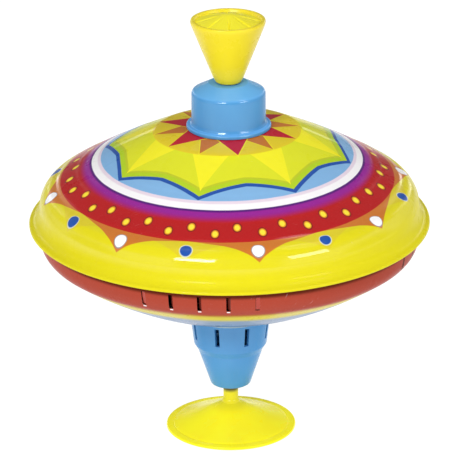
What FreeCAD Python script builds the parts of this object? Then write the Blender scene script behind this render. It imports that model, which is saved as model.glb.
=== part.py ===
import FreeCAD, Part
import math
import os
import Sketcher

# A pump-action humming top: a lithographed tin body that spins on a separate foot, a twisted rod
# that drives it through a one-way clutch, and reeds that hum in the air drawn through the cone.
# Millimetres, +Z up, origin on the floor at the centre of the foot.

V = FreeCAD.Vector
SIZES = {
    # foot
    "foot_r": 31.2, "foot_edge": 1.3, "foot_rim_in": 27.6, "foot_rim_top": 1.9, "foot_round": 0.6,
    "foot_floor_in": 27.4, "foot_under": 0.6, "foot_sweep": 100, "foot_neck_r": 4.3,
    "foot_neck_z": 12.4, "foot_neck_under": 9.4, "foot_core_z": 3.4, "stem_r": 3.6, "stem_z": 14.2,
    "stem_top": 21.6, "foot_under_r": 26.4, "rib_thick": 1.3, "rib_in": 3.8, "rib_low_in": 6.3,
    "rib_end": 24.5, "rib_end_z": 1, "rib_top_in": 9.9, "rib_count": 6,
    # pivot pin, its clip, bush and thrust disc
    "pin_r": 1.5, "pin_bottom": 7.5, "pin_top": 40, "pin_shoulder": 38.8, "pin_tip_r": 0.5,
    "pin_tip_bend": 1.6, "groove_r": 1.05, "groove_z": 34.6, "groove_high": 0.7, "clip_r": 3.0,
    "clip_z": 34.7, "clip_high": 0.5, "clip_gap": 1.9, "bush_gap": 0.09, "bush_r": 3.4,
    "bush_bottom": 22.6, "bush_top": 33.5, "thrust_bottom": 40.4, "thrust_top": 41.4,
    "fit_gap": 0.05,
    # lower cone
    "cone_bottom": 22, "cone_foot_r": 8.4, "cone_foot_bend": 2, "cone_low_r": 10,
    "cone_low_z": 23.8, "cone_step_r": 15.6, "cone_step_z": 40.8, "cone_band_r": 17.5,
    "cone_band_z": 43.9, "cone_band_top_r": 19.4, "cone_flange_z": 59.1, "cone_flange_r": 21.4,
    "cone_flange_top": 60.1, "cone_top_r": 19.5, "cone_top_z": 63.8, "cone_wall": 1.8,
    "ledge_z": 58.6, "ledge_r": 17.9, "ledge_in": 17.1, "cone_floor": 24.6, "hub_r": 6.4,
    "hub_top": 47, "clip_room_r": 3.9, "tube_seat_r": 5, "step_round": 0.45, "web_thick": 1.4,
    "web_in": 5.9, "web_low_z": 24.1, "web_low_r": 8.7, "web_high_r": 14.3, "web_top": 40,
    "web_count": 4, "slot_wide": 2, "slot_low": 47.5, "slot_high": 57, "slot_count": 8,
    "slot_turn": 25,
    # lower shell
    "tin": 0.45, "shell_hole_r": 19.8, "shell_hole_z": 60.5, "shell_knee_r": 40, "shell_knee_z": 67.5,
    "shell_corner_r": 86, "shell_corner_z": 92.3, "shell_sweep": 215, "corner_bend": 9.5,
    "shell_wall_r": 89.9, "shell_wall_z": 98.6, "shell_neck_r": 90.8, "shell_neck_z": 104.2,
    "flange_in": 92.8, "flange_z": 106.05, "flange_bend": 2.1, "flange_r": 94.3,
    "vent_wide": 2, "vent_low": 95.7, "vent_high": 103, "vent_pitch": 8.5, "vent_count": 5,
    "vent_groups": 4, "vent_turn": -26, "lip_low": 97, "lip_low_r": 89.55, "lip_high": 102.6,
    "lip_high_r": 90.5, "lip_root": 0.45, "lip_lean": 1.1, "lip_deep": 1.5,
    # upper shell
    "neck_r": 9.1, "neck_flat_r": 14, "neck_z": 153.9, "crown_r": 34.6, "crown_z": 151.2,
    "shoulder_in": 83.8, "shoulder_in_z": 125.05, "dome_sweep": 620, "shoulder_r": 89.86,
    "shoulder_z": 116.1, "shoulder_bend": 12.6, "wall_low_r": 90.2, "wall_low_z": 112.6,
    "flare_r": 94.4, "flare_z": 107.35, "flare_bend": 6.2, "rim_lip_z": 105.6, "rim_bend": 0.9,
    "rim_lip_r": 93.1,
    # ring that clamps the cone, and the reed plate with its reeds
    "lock_r": 23.5, "lock_low": 62.4, "lock_high": 63.4, "plate_r": 17.8, "plate_high": 1.2,
    "plate_hole": 5.1, "reed_slot_in": 8, "reed_slot_out": 14.6, "reed_slot_wide": 2.6,
    "reed_in": 8.3, "reed_out": 16.9, "reed_wide": 2.2, "reed_thick": 0.2, "reed_count": 8,
    "rivet_r": 0.45, "rivet_head_r": 0.8, "rivet_head": 0.45, "rivet_at": 15.8,
    # guide tube, clutch housing, ratchet, drive nut
    "tube_r": 4.95, "tube_bore": 4.45, "case_r": 9, "case_in": 8.2, "case_low": 145.9,
    "case_floor": 147, "case_top": 157.2, "case_flange_r": 13.4, "case_flange": 0.8,
    "ratchet_r": 8.1, "ratchet_in": 4.5, "ratchet_top": 150, "tooth_high": 0.8, "tooth_in": 5,
    "tooth_out": 7.4, "tooth_half": 1.3, "tooth_count": 12, "tooth_gap": 0.3,
    "nut_r": 7.6, "nut_high": 3.4, "cover_low": 156, "cover_high": 157,
    "cover_bore": 3.7, "clamp_r": 13.2, "clamp_high": 0.8,
    # collar and its bush
    "collar_r": 20, "collar_low": 153.3, "collar_rim": 154.9, "collar_inset": 18.7,
    "collar_wall_low": 156.2, "collar_body_r": 17.6, "collar_top_r": 17.45, "collar_top_z": 171,
    "collar_cap_r": 9.3, "collar_cap_z": 175.2, "collar_hole": 4.6, "collar_grip": 13.45,
    "collar_grip_low": 154.05, "collar_grip_z": 156.6, "collar_inset_z": 155.2,
    "collar_bend": 1.2, "collar_bore": 15.8, "collar_bore_z": 169.4, "collar_under": 173.7,
    "collar_flat_r": 7, "collar_round": 0.55, "guide_bore": 3.4, "guide_flange": 6.6,
    "guide_low": 172.9, "guide_top": 175.4,
    # knob
    "knob_low": 175.7, "knob_low_r": 6, "knob_neck_r": 7.4, "knob_neck_z": 178.4, "knob_flare_r": 17.2,
    "knob_flare_z": 203.3, "knob_r": 17.6, "knob_rim_z": 204.4, "knob_top": 206, "knob_rim_in": 15.8,
    "moat_r": 15.2, "moat_z": 204.1, "peak_r": 1.6, "peak_z": 208.6, "knob_round": 0.7,
    "knob_bore": 3.15, "knob_bore_top": 192.2, "flute_wide": 0.9, "flute_in": 3.6,
    "flute_out": 14.9, "flute_deep": 1.1, "flute_count": 8, "flute_turn": 3,
    # twisted rod and its stop
    "rod_wide": 6, "rod_thick": 1.3, "rod_low": 51, "rod_top": 192, "rod_pitch": 36,
    "rod_slack": 0.3, "stop_r": 3.95, "stop_low": 51.5, "stop_high": 55.6,
}

doc = FreeCAD.newDocument("HummingTop")
sheet = doc.addObject("Spreadsheet::Sheet", "Sizes")
for row, (alias, size) in enumerate(SIZES.items(), start=1):
    sheet.set("A%d" % row, alias)
    sheet.set("B%d" % row, str(size))
    sheet.setAlias("B%d" % row, alias)
doc.recompute()


def value(text):
    """The number that a sum of terms stands for; a term is a size, a number or a product of two."""
    total = 0.0
    sign = 1
    for term in text.split():
        if term in ("+", "-"):
            sign = 1 if term == "+" else -1
            continue
        product = 1.0
        for factor in term.split("*"):
            product *= SIZES[factor] if factor in SIZES else float(factor)
        total += sign * product
    return total


def formula(text):
    """The same sum written for the expression engine, with each size read from the sheet."""
    terms = []
    for term in text.split():
        factors = ["Sizes." + factor if factor in SIZES else factor for factor in term.split("*")]
        terms.append(" * ".join(factors))
    return " ".join(terms)


def new_body(label):
    """An empty body whose label is the sub-part's name."""
    body = doc.addObject("PartDesign::Body", label)
    body.Label = label
    return body


def new_sketch(body, name, plane="XZ_Plane", turn=0.0, lift="0"):
    """A sketch on one of the body's own planes, turned about the top's axis and lifted along it."""
    sketch = body.newObject("Sketcher::SketchObject", name)
    support = [item for item in body.Origin.OriginFeatures if item.Role == plane][0]
    sketch.AttachmentSupport = [(support, "")]
    sketch.MapMode = "FlatFace"
    spin_axis = V(0, 1, 0) if plane == "XZ_Plane" else V(0, 0, 1)
    sketch.AttachmentOffset = FreeCAD.Placement(V(0, 0, value(lift)), FreeCAD.Rotation(spin_axis, turn))
    if value(lift):
        sketch.setExpression("AttachmentOffset.Base.z", formula(lift))
    return sketch


def arc_between(start, end, radius, side):
    """The short arc from start to end that bulges to the left (side 1) or right (side -1)."""
    chord = end - start
    normal = V(-chord.y, chord.x, 0).normalize() * side
    reach = math.sqrt(radius ** 2 - (chord.Length / 2) ** 2)
    centre = (start + end) / 2 - normal * reach
    return Part.Arc(start, centre + normal * radius, end)


def draw(sketch, points, closed=True):
    """Lines and arcs through points of (across, up), or (across, up, radius, side) for an arc."""
    places = [V(value(point[0]), value(point[1]), 0) for point in points]
    legs = len(points) if closed else len(points) - 1
    rules = []
    bound = []
    ends = []
    for leg in range(legs):
        following = (leg + 1) % len(points)
        bend = points[following][2:]
        if bend:
            edge = arc_between(places[leg], places[following], value(bend[0]), bend[1])
        else:
            edge = Part.LineSegment(places[leg], places[following])
        number = sketch.addGeometry(edge)
        first_end = 1 if sketch.getPoint(number, 1).distanceToPoint(places[leg]) < 1e-6 else 2
        ends.append((number, first_end, 3 - first_end))
        if bend:
            rules.append(Sketcher.Constraint("Radius", number, value(bend[0])))
            bound.append(bend[0])
    for leg in range(legs if closed else legs - 1):
        here, there = ends[leg], ends[(leg + 1) % legs]
        rules.append(Sketcher.Constraint("Coincident", here[0], here[2], there[0], there[1]))
        bound.append("")
    for index, point in enumerate(points):
        number, corner = (ends[index][0], ends[index][1]) if index < legs else (ends[-1][0], ends[-1][2])
        for kind, text in (("DistanceX", point[0]), ("DistanceY", point[1])):
            if value(text) == 0:
                axis = -2 if kind == "DistanceX" else -1
                rules.append(Sketcher.Constraint("PointOnObject", number, corner, axis))
                bound.append("")
            else:
                rules.append(Sketcher.Constraint(kind, -1, 1, number, corner, value(text)))
                bound.append(text)
    sketch.addConstraint(rules)
    for index, text in enumerate(bound):
        if any(character.isalpha() for character in text):
            sketch.setExpression("Constraints[%d]" % index, formula(text))


def box_sketch(sketch, low_x, low_y, high_x, high_y):
    """A rectangle between two corners."""
    draw(sketch, [(low_x, low_y), (high_x, low_y), (high_x, high_y), (low_x, high_y)])


def circle_sketch(sketch, radius, across="0"):
    """A circle on the sketch's horizontal axis."""
    sketch.addGeometry(Part.Circle(V(value(across), 0, 0), V(0, 0, 1), value(radius)))
    sketch.addConstraint(Sketcher.Constraint("Radius", 0, value(radius)))
    sketch.setExpression("Constraints[0]", formula(radius))
    sketch.addConstraint(Sketcher.Constraint("PointOnObject", 0, 3, -1))
    if value(across):
        sketch.addConstraint(Sketcher.Constraint("DistanceX", -1, 1, 0, 3, value(across)))
        sketch.setExpression("Constraints[2]", formula(across))
    else:
        sketch.addConstraint(Sketcher.Constraint("PointOnObject", 0, 3, -2))


def revolve(body, name, points):
    """A solid turned about Z from a closed half section."""
    sketch = new_sketch(body, name + "_section")
    draw(sketch, points)
    turned = body.newObject("PartDesign::Revolution", name)
    turned.Profile = sketch
    turned.ReferenceAxis = (sketch, ["V_Axis"])
    turned.Angle = 360
    sketch.Visibility = False
    return turned


def extrude(body, kind, name, sketch, length, both_ways=False, backwards=False):
    """A Pad or Pocket of a sketch; it must change the body's volume."""
    doc.recompute()
    before = body.Shape.Volume
    feature = body.newObject("PartDesign::" + kind, name)
    feature.Profile = sketch
    feature.setExpression("Length", formula(length))
    feature.SideType = "Symmetric" if both_ways else "One side"
    feature.Reversed = backwards
    doc.recompute()
    if abs(body.Shape.Volume - before) < 1e-3:
        raise RuntimeError("%s changes nothing" % name)
    return feature


def upright_axis(body):
    """The body's own Z axis, as a pattern reads it."""
    return ([item for item in body.Origin.OriginFeatures if item.Role == "Z_Axis"][0], [""])


def ring_pattern(body, name, original, count):
    """A feature repeated evenly round Z."""
    pattern = body.newObject("PartDesign::PolarPattern", name)
    pattern.Originals = [original]
    pattern.Axis = upright_axis(body)
    pattern.Angle = 360
    pattern.setExpression("Occurrences", formula(count))
    body.Tip = pattern
    return pattern


def round_rings(body, name, feature, rings, radius):
    """A fillet along the circular edges at each (radius, height)."""
    doc.recompute()
    names = []
    for number, edge in enumerate(feature.Shape.Edges, start=1):
        if not isinstance(edge.Curve, Part.Circle):
            continue
        for ring_r, ring_z in rings:
            same_r = abs(edge.Curve.Radius - value(ring_r)) < 1e-3
            if same_r and abs(edge.Curve.Center.z - value(ring_z)) < 1e-3:
                names.append("Edge%d" % number)
    if len(names) != len(rings):
        raise RuntimeError("%s finds %d of %d edges" % (name, len(names), len(rings)))
    fillet = body.newObject("PartDesign::Fillet", name)
    fillet.Base = (feature, names)
    fillet.setExpression("Radius", formula(radius))
    body.Tip = fillet
    return fillet


def sheet_metal(label, points, thickness):
    """A turned sheet: an open line of the outer skin, thickened inwards and spun about Z.

    A positive thickness goes to the left of the line's run and a negative one to its right."""
    line = doc.addObject("Sketcher::SketchObject", label + "_line")
    line.Placement = FreeCAD.Placement(V(0, 0, 0), FreeCAD.Rotation(V(1, 0, 0), 90))
    draw(line, points, closed=False)
    strip = doc.addObject("Part::Offset2D", label + "_strip")
    strip.Source = line
    strip.Mode = "Skin"
    strip.Join = "Arc"
    strip.Fill = True
    strip.setExpression("Value", formula(thickness))
    shell = doc.addObject("Part::Revolution", label + "_spun")
    shell.Source = strip
    shell.Axis = V(0, 0, 1)
    shell.Angle = 360
    shell.Solid = True
    return shell


def copies(label, make_piece, count):
    """A group of like solids set evenly round Z, as one node."""
    first = make_piece()
    group = doc.addObject("Part::Feature", label)
    step = 360.0 / count
    turned = []
    for index in range(count):
        piece = first.copy()
        piece.rotate(V(0, 0, 0), V(0, 0, 1), index * step)
        turned.append(piece)
    group.Shape = Part.makeCompound(turned)
    return group


def twisted_bar(wide, thick, low, high):
    """A flat bar twisted right-handed about Z, one turn in each rod_pitch of height."""
    turn = 360.0 * (low - SIZES["rod_low"]) / SIZES["rod_pitch"]
    corners = [(-wide, -thick), (wide, -thick), (wide, thick), (-wide, thick), (-wide, -thick)]
    outline = Part.makePolygon([V(across / 2, deep / 2, low) for across, deep in corners])
    spine = Part.Wire([Part.LineSegment(V(0, 0, low), V(0, 0, high)).toShape()])
    helix = Part.makeHelix(SIZES["rod_pitch"], high - low, wide)
    helix.translate(V(0, 0, low))
    sweep = Part.BRepOffsetAPI.MakePipeShell(spine)
    sweep.setAuxiliarySpine(helix, True, 0)
    sweep.add(outline, False, False)
    sweep.build()
    sweep.makeSolid()
    bar = sweep.shape()
    bar.rotate(V(0, 0, 0), V(0, 0, 1), turn)
    return bar


def teeth(body, name, base, up):
    """Saw teeth round an annulus, standing on the height called base or hanging from it."""
    tip = base + (" + tooth_high" if up else " - tooth_high")
    root = base + (" - tooth_gap" if up else " + tooth_gap")
    steep, flat = ("-1*tooth_half", "tooth_half") if up else ("tooth_half", "-1*tooth_half")
    sketch = new_sketch(body, name + "_outline", plane="YZ_Plane", lift="tooth_in")
    draw(sketch, [(flat, root), (flat, base), (steep, tip), (steep, root)])
    tooth = extrude(body, "Pad", name, sketch, "tooth_out - tooth_in")
    return ring_pattern(body, name + "_ring", tooth, "tooth_count")


def build_foot_disc():
    body = new_body("foot_disc")
    disc = revolve(body, "disc", [
        ("0", "foot_core_z"), ("foot_neck_r", "foot_core_z"), ("foot_neck_r", "foot_neck_under"),
        ("foot_under_r", "foot_under", "foot_sweep", -1), ("foot_floor_in", "0"),
        ("foot_r", "0"), ("foot_r", "foot_edge"), ("foot_rim_in", "foot_rim_top"),
        ("foot_neck_r", "foot_neck_z", "foot_sweep", 1), ("stem_r", "stem_z"),
        ("stem_r", "stem_top"), ("0", "stem_top")])
    round_rings(body, "disc_edge", disc, [("foot_r", "foot_edge")], "foot_round")
    rib = new_sketch(body, "rib_outline")
    draw(rib, [("rib_in", "foot_core_z"), ("rib_low_in", "foot_core_z"), ("rib_end", "rib_end_z"),
               ("rib_end", "foot_rim_top"), ("rib_in", "rib_top_in")])
    web = extrude(body, "Pad", "rib", rib, "rib_thick", both_ways=True)
    ring_pattern(body, "rib_ring", web, "rib_count")
    hole = new_sketch(body, "pin_hole", plane="XY_Plane", lift="stem_top")
    circle_sketch(hole, "pin_r")
    extrude(body, "Pocket", "pin_bore", hole, "stem_top - pin_bottom")
    return body


def build_foot_pin():
    body = new_body("foot_pin")
    revolve(body, "pin", [
        ("0", "pin_bottom"), ("pin_r", "pin_bottom"), ("pin_r", "groove_z"),
        ("groove_r", "groove_z"), ("groove_r", "groove_z + groove_high"),
        ("pin_r", "groove_z + groove_high"), ("pin_r", "pin_shoulder"),
        ("pin_tip_r", "pin_top", "pin_tip_bend", -1), ("0", "pin_top")])
    return body


def build_pin_clip():
    body = new_body("pin_clip")
    top = "clip_z + clip_high"
    revolve(body, "clip", [
        ("groove_r", "clip_z"), ("clip_r", "clip_z"), ("clip_r", top), ("groove_r", top)])
    mouth = new_sketch(body, "mouth", plane="XY_Plane", lift="clip_z")
    box_sketch(mouth, "0", "-0.5*clip_gap", "clip_r + 1", "0.5*clip_gap")
    extrude(body, "Pocket", "clip_mouth", mouth, "clip_high", backwards=True)
    return body


def build_pivot_bush():
    body = new_body("pivot_bush")
    bore = "pin_r + bush_gap"
    revolve(body, "bush", [
        (bore, "bush_bottom"), ("bush_r", "bush_bottom"), ("bush_r", "bush_top"), (bore, "bush_top")])
    return body


def build_thrust_disc():
    body = new_body("thrust_disc")
    revolve(body, "thrust", [
        ("0", "thrust_bottom"), ("tube_r", "thrust_bottom"), ("tube_r", "thrust_top"), ("0", "thrust_top")])
    return body


def build_lower_cone():
    body = new_body("lower_cone")
    cone = revolve(body, "cone", [
        ("bush_r", "cone_bottom"), ("cone_foot_r", "cone_bottom"),
        ("cone_low_r", "cone_low_z", "cone_foot_bend", -1),
        ("cone_step_r", "cone_step_z"), ("cone_band_r", "cone_band_z"),
        ("cone_band_top_r", "cone_flange_z"), ("cone_flange_r", "cone_flange_z"),
        ("cone_flange_r", "cone_flange_top"), ("cone_top_r", "cone_flange_top"),
        ("cone_top_r", "cone_top_z"), ("ledge_r", "cone_top_z"), ("ledge_r", "ledge_z"),
        ("ledge_in", "ledge_z"), ("cone_band_r - cone_wall", "cone_band_z"),
        ("cone_step_r - cone_wall", "cone_step_z"), ("cone_low_r - cone_wall", "cone_floor"),
        ("hub_r", "cone_floor"), ("hub_r", "hub_top"), ("tube_seat_r", "hub_top"),
        ("tube_seat_r", "thrust_bottom"), ("clip_room_r", "thrust_bottom"),
        ("clip_room_r", "bush_top"), ("bush_r", "bush_top")])
    web = new_sketch(body, "web_outline")
    draw(web, [("web_in", "web_low_z"), ("web_low_r", "web_low_z"), ("web_high_r", "web_top"),
               ("web_in", "web_top")])
    rib = extrude(body, "Pad", "web", web, "web_thick", both_ways=True)
    ring_pattern(body, "web_ring", rib, "web_count")
    window = new_sketch(body, "slot_outline", turn=SIZES["slot_turn"])
    box_sketch(window, "-0.5*slot_wide", "slot_low", "0.5*slot_wide", "slot_high")
    slot = extrude(body, "Pocket", "air_slot", window, "cone_flange_r")
    ring_pattern(body, "slot_ring", slot, "slot_count")
    round_rings(body, "step_edge", body.Tip, [("cone_band_r", "cone_band_z")], "step_round")
    return body


def build_lower_shell():
    body = new_body("lower_shell")
    body.BaseFeature = sheet_metal("lower_skin", [
        ("shell_hole_r", "shell_hole_z"), ("shell_knee_r", "shell_knee_z"),
        ("shell_corner_r", "shell_corner_z", "shell_sweep", -1),
        ("shell_wall_r", "shell_wall_z", "corner_bend", -1), ("shell_neck_r", "shell_neck_z"),
        ("flange_in", "flange_z", "flange_bend", 1), ("flange_r", "flange_z")], "tin")
    window = new_sketch(body, "vent_outline", turn=SIZES["vent_turn"])
    box_sketch(window, "-0.5*vent_wide", "vent_low", "0.5*vent_wide", "vent_high")
    vent = extrude(body, "Pocket", "vent", window, "flange_r", backwards=True)
    vent_rows(body, "vents", vent)
    levels = []
    for level in ("low", "high"):
        name = "lip_" + level
        sketch = new_sketch(body, name + "_outline", "XY_Plane", SIZES["vent_turn"], name)
        wall = "-1*lip_" + level + "_r"
        draw(sketch, [
            ("0.5*vent_wide", wall), ("0.5*vent_wide + lip_root", wall),
            ("0.5*vent_wide + lip_root - lip_lean", wall + " + lip_deep"),
            ("0.5*vent_wide - lip_lean", wall + " + lip_deep - 0.5*lip_root")])
        levels.append(sketch)
    lip = body.newObject("PartDesign::AdditiveLoft", "vent_lip")
    lip.Profile = levels[0]
    lip.Sections = [levels[1]]
    lip.Ruled = True
    doc.recompute()
    vent_rows(body, "lips", lip)
    return body


def vent_rows(body, name, original):
    """A feature repeated along a row of vents, and the row repeated round the shell."""
    both = body.newObject("PartDesign::MultiTransform", name)
    both.Originals = [original]
    row = body.newObject("PartDesign::PolarPattern", name + "_row")
    row.Axis = upright_axis(body)
    row.setExpression("Angle", formula("vent_pitch*vent_count - vent_pitch"))
    row.setExpression("Occurrences", formula("vent_count"))
    ring = body.newObject("PartDesign::PolarPattern", name + "_ring")
    ring.Axis = upright_axis(body)
    ring.Angle = 360
    ring.setExpression("Occurrences", formula("vent_groups"))
    both.Transformations = [row, ring]
    body.Tip = both
    doc.recompute()
    return both


def build_upper_shell():
    dome = sheet_metal("upper_shell", [
        ("neck_r", "neck_z"), ("neck_flat_r", "neck_z"), ("crown_r", "crown_z"),
        ("shoulder_in", "shoulder_in_z", "dome_sweep", 1),
        ("shoulder_r", "shoulder_z", "shoulder_bend", 1), ("wall_low_r", "wall_low_z"),
        ("flare_r", "flare_z", "flare_bend", -1), ("flare_r", "rim_lip_z", "rim_bend", 1),
        ("rim_lip_r", "rim_lip_z")], "-1*tin")
    dome.Label = "upper_shell"
    return dome


def build_cone_lock_ring():
    body = new_body("cone_lock_ring")
    bore = "cone_top_r + fit_gap"
    revolve(body, "ring", [
        (bore, "lock_low"), ("lock_r", "lock_low"), ("lock_r", "lock_high"), (bore, "lock_high")])
    return body


def build_reed_plate():
    body = new_body("reed_plate")
    top = "ledge_z + plate_high"
    revolve(body, "plate", [
        ("plate_hole", "ledge_z"), ("plate_r", "ledge_z"), ("plate_r", top), ("plate_hole", top)])
    window = new_sketch(body, "reed_window", plane="XY_Plane", lift=top)
    box_sketch(window, "reed_slot_in", "-0.5*reed_slot_wide", "reed_slot_out", "0.5*reed_slot_wide")
    opening = extrude(body, "Pocket", "reed_opening", window, "plate_high")
    ring_pattern(body, "opening_ring", opening, "reed_count")
    hole = new_sketch(body, "rivet_circle", plane="XY_Plane", lift=top)
    circle_sketch(hole, "rivet_r", "rivet_at")
    bore = extrude(body, "Pocket", "rivet_hole", hole, "plate_high")
    ring_pattern(body, "rivet_ring", bore, "reed_count")
    return body


def one_reed():
    """A flat tongue over its opening, with a hole for its rivet."""
    top = value("ledge_z + plate_high")
    tongue = Part.makeBox(
        value("reed_out - reed_in"), SIZES["reed_wide"], SIZES["reed_thick"],
        V(SIZES["reed_in"], -SIZES["reed_wide"] / 2, top))
    hole = Part.makeCylinder(SIZES["rivet_r"], SIZES["reed_thick"], V(SIZES["rivet_at"], 0, top))
    return tongue.cut(hole)


def one_rivet():
    """A shank through the plate and the reed, with a flat head on the reed."""
    seat = value("ledge_z + plate_high + reed_thick")
    foot = V(SIZES["rivet_at"], 0, SIZES["ledge_z"])
    shank = Part.makeCylinder(SIZES["rivet_r"], seat - SIZES["ledge_z"], foot)
    head = Part.makeCylinder(SIZES["rivet_head_r"], SIZES["rivet_head"], V(SIZES["rivet_at"], 0, seat))
    return shank.fuse(head).removeSplitter()


def build_guide_tube():
    body = new_body("guide_tube")
    revolve(body, "tube", [
        ("tube_bore", "thrust_top"), ("tube_r", "thrust_top"), ("tube_r", "case_floor"),
        ("tube_bore", "case_floor")])
    return body


def build_clutch_housing():
    body = new_body("clutch_housing")
    revolve(body, "cup", [
        ("tube_r + fit_gap", "case_low"), ("case_r", "case_low"), ("case_r", "neck_z"),
        ("case_flange_r", "neck_z"), ("case_flange_r", "neck_z + case_flange"),
        ("case_r", "neck_z + case_flange"), ("case_r", "case_top"), ("case_in", "case_top"),
        ("case_in", "case_floor"), ("tube_r + fit_gap", "case_floor")])
    return body


def build_dome_lock_ring():
    body = new_body("dome_lock_ring")
    bore = "case_r + fit_gap"
    top = "neck_z - tin - fit_gap"
    low = top + " - clamp_high"
    revolve(body, "ring", [(bore, low), ("clamp_r", low), ("clamp_r", top), (bore, top)])
    return body


def build_ratchet_ring():
    body = new_body("ratchet_ring")
    revolve(body, "ring", [
        ("ratchet_in", "case_floor"), ("ratchet_r", "case_floor"), ("ratchet_r", "ratchet_top"),
        ("ratchet_in", "ratchet_top")])
    teeth(body, "ratchet_tooth", "ratchet_top", up=True)
    return body


def build_drive_nut():
    body = new_body("nut_blank")
    low = "ratchet_top + 2*tooth_high + tooth_gap"
    high = low + " + nut_high"
    revolve(body, "blank", [("0", low), ("nut_r", low), ("nut_r", high), ("0", high)])
    teeth(body, "nut_tooth", low, up=False)
    slot = doc.addObject("Part::Feature", "nut_slot")
    slack = 2 * SIZES["rod_slack"]
    slot.Shape = twisted_bar(
        SIZES["rod_wide"] + slack, SIZES["rod_thick"] + slack, value(low) - 2, value(high) + 2)
    nut = doc.addObject("Part::Cut", "drive_nut")
    nut.Base = body
    nut.Tool = slot
    return nut


def build_clutch_cover():
    body = new_body("clutch_cover")
    edge = "case_in - fit_gap"
    revolve(body, "cover", [
        ("cover_bore", "cover_low"), (edge, "cover_low"), (edge, "cover_high"),
        ("cover_bore", "cover_high")])
    return body


def build_collar():
    body = new_body("collar")
    cap = revolve(body, "cap", [
        ("collar_grip", "collar_grip_low"), ("collar_r", "collar_low"), ("collar_r", "collar_rim"),
        ("collar_inset", "collar_inset_z"),
        ("collar_body_r", "collar_wall_low", "collar_bend", 1),
        ("collar_top_r", "collar_top_z"), ("collar_cap_r", "collar_cap_z"),
        ("collar_hole", "collar_cap_z"), ("collar_hole", "collar_under"),
        ("collar_flat_r", "collar_under"), ("collar_bore", "collar_bore_z"),
        ("collar_bore", "collar_grip_z"), ("collar_grip", "collar_grip_z")])
    round_rings(body, "rim_edges", cap, [
        ("collar_r", "collar_rim"), ("collar_top_r", "collar_top_z")], "collar_round")
    return body


def build_guide_bush():
    body = new_body("guide_bush")
    revolve(body, "bush", [
        ("guide_bore", "guide_low"), ("guide_flange", "guide_low"), ("guide_flange", "collar_under"),
        ("collar_hole", "collar_under"), ("collar_hole", "guide_top"), ("guide_bore", "guide_top")])
    return body


def build_knob():
    body = new_body("knob")
    grip = revolve(body, "grip", [
        ("knob_bore", "knob_low"), ("knob_low_r", "knob_low"), ("knob_neck_r", "knob_neck_z"),
        ("knob_flare_r", "knob_flare_z"), ("knob_r", "knob_rim_z"), ("knob_r", "knob_top"),
        ("knob_rim_in", "knob_top"), ("moat_r", "moat_z"), ("peak_r", "peak_z"), ("0", "peak_z"),
        ("0", "knob_bore_top"), ("knob_bore", "knob_bore_top")])
    round_rings(body, "grip_edges", grip, [
        ("knob_r", "knob_top"), ("knob_rim_in", "knob_top")], "knob_round")
    outline = new_sketch(body, "flute_outline", turn=SIZES["flute_turn"])
    draw(outline, [("flute_in", "peak_z"), ("flute_out", "moat_z - flute_deep"), ("flute_out", "peak_z")])
    flute = extrude(body, "Pocket", "flute", outline, "flute_wide", both_ways=True)
    ring_pattern(body, "flute_ring", flute, "flute_count")
    return body


def build_spiral_rod():
    rod = doc.addObject("Part::Feature", "spiral_rod")
    rod.Shape = twisted_bar(SIZES["rod_wide"], SIZES["rod_thick"], SIZES["rod_low"], SIZES["rod_top"])
    return rod


def build_rod_stop():
    body = new_body("rod_stop")
    revolve(body, "stop", [
        ("knob_bore", "stop_low"), ("stop_r", "stop_low"), ("stop_r", "stop_high"),
        ("knob_bore", "stop_high")])
    return body


nodes = [
    build_foot_disc(), build_foot_pin(), build_pin_clip(), build_pivot_bush(), build_thrust_disc(),
    build_lower_cone(), build_cone_lock_ring(), build_lower_shell(), build_upper_shell(),
    build_reed_plate(), copies("reeds", one_reed, SIZES["reed_count"]),
    copies("reed_rivets", one_rivet, SIZES["reed_count"]), build_guide_tube(),
    build_clutch_housing(), build_dome_lock_ring(), build_ratchet_ring(), build_drive_nut(),
    build_clutch_cover(), build_collar(), build_guide_bush(), build_knob(), build_spiral_rod(),
    build_rod_stop(),
]
doc.recompute()
for item in doc.Objects:
    if "Invalid" in item.State or "Error" in item.State:
        raise RuntimeError("%s did not recompute: %s" % (item.Label, item.State))
for node in nodes:
    if node.Shape.isNull() or not node.Shape.isValid() or not node.Shape.Solids:
        raise RuntimeError("%s has no sound solid" % node.Label)
os.makedirs("parts", exist_ok=True)
for node in nodes:
    node.Shape.exportStep("parts/%s.step" % node.Label)
    box = node.Shape.BoundBox
    print("%-16s %2d solid  %10.1f mm3  z %.2f to %.2f" % (
        node.Label, len(node.Shape.Solids), node.Shape.Volume, box.ZMin, box.ZMax))
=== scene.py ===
"""Looks of the pump-action humming top: printed tin shells, moulded plastic foot, cone, collar and knob.

Lengths are written in millimetres and turned into metres where a mesh is made. Every turned piece is
described by the half section that its CAD node has, with angles counted from the front (-Y) towards +X.
"""
import bisect
import math

import bmesh
import bpy
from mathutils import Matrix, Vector


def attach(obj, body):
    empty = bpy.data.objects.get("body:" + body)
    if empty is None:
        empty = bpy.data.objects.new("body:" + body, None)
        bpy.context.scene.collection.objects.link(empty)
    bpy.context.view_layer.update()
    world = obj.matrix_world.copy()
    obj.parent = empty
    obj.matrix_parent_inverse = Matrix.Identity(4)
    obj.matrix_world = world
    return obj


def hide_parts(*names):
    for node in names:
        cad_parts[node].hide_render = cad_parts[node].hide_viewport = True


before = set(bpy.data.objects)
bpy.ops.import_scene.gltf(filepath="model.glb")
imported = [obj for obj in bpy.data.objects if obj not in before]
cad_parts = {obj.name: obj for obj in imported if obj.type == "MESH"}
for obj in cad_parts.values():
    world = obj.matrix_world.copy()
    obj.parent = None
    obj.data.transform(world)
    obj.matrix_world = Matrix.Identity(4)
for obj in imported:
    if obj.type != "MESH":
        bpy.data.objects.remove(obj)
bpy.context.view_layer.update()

MM = 0.001
TINY = 1e-6  # lengths in millimetres, or angles in degrees, that differ by less are the same
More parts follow.
